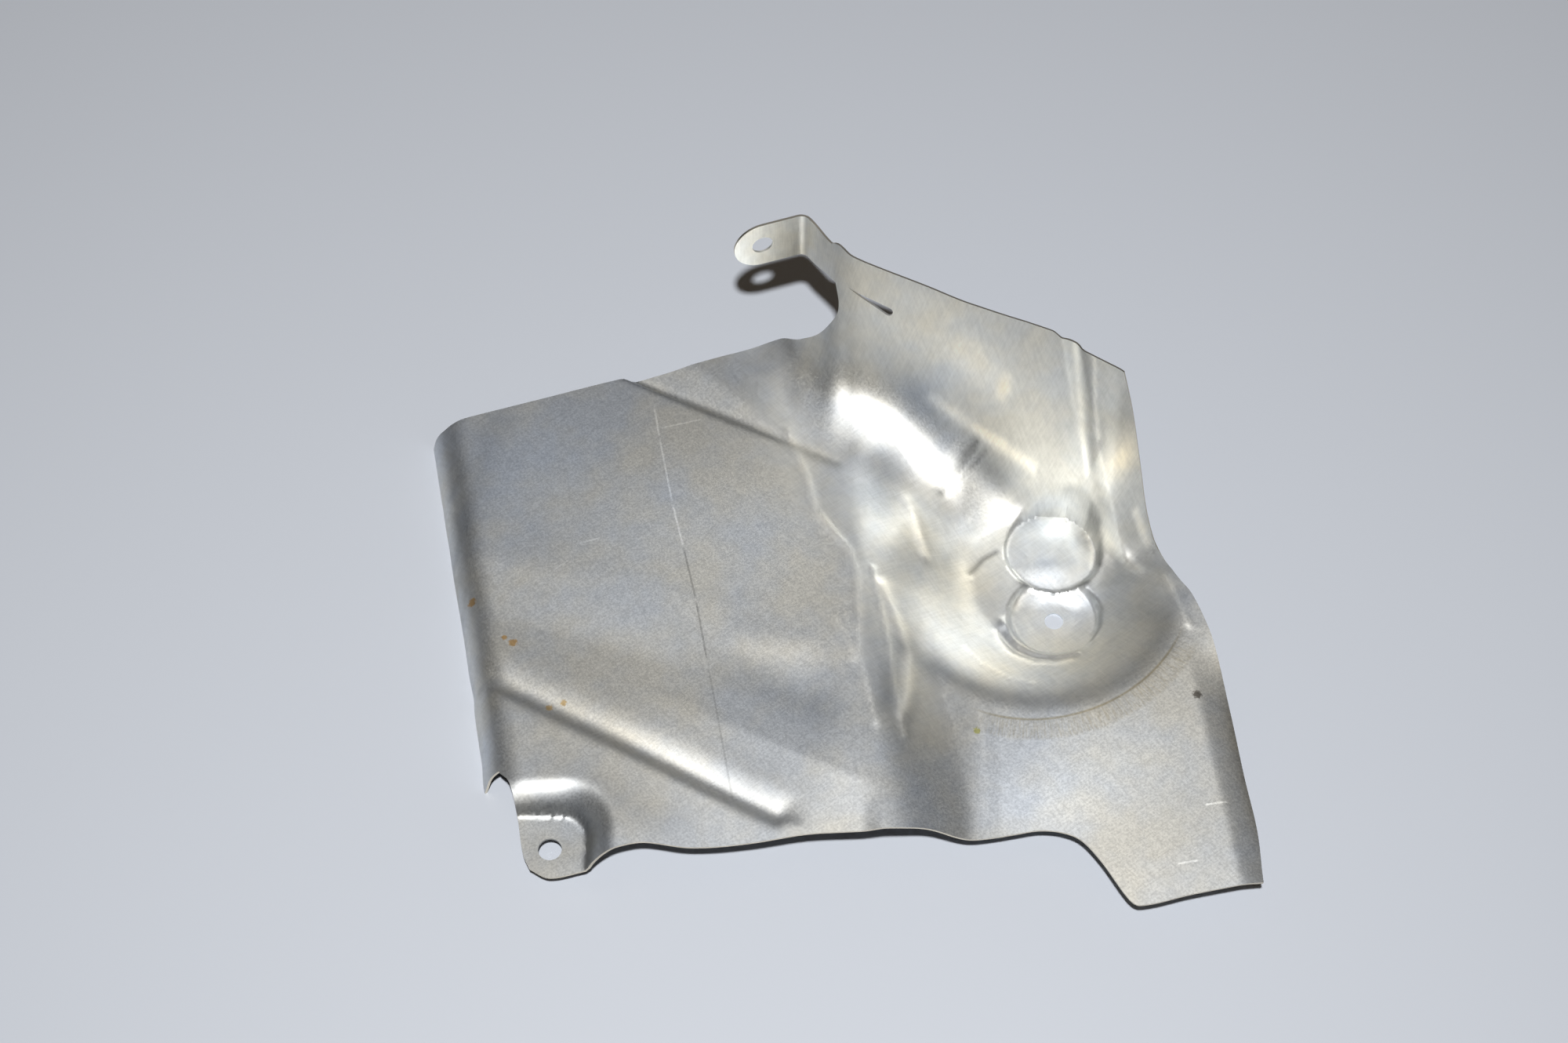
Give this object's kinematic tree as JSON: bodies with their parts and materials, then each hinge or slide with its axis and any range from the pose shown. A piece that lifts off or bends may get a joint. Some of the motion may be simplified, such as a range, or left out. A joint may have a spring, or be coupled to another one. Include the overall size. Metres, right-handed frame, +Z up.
{
  "type": "heat shield",
  "caption": "Pressed sheet metal heat shield with stiffening grooves, a drawn bowl, a tall curved wall, a rolled edge and a folded tab with a bolt hole.",
  "frame": {"origin": "centre of the round hole in the pocket, at the plane that the shield lies on", "axes": "+Z up along the pocket hole, +X to the right along the front edge, +Y back towards the tall wall"},
  "size_m": [0.2678, 0.2159, 0.0815],
  "materials": {
    "bright_sheet": "satin rolled sheet with fine scuffs, pressed and handled"
  },
  "bodies": {
    "root": {"pressed_shield": "bright_sheet"}
  },
  "joints": []
}
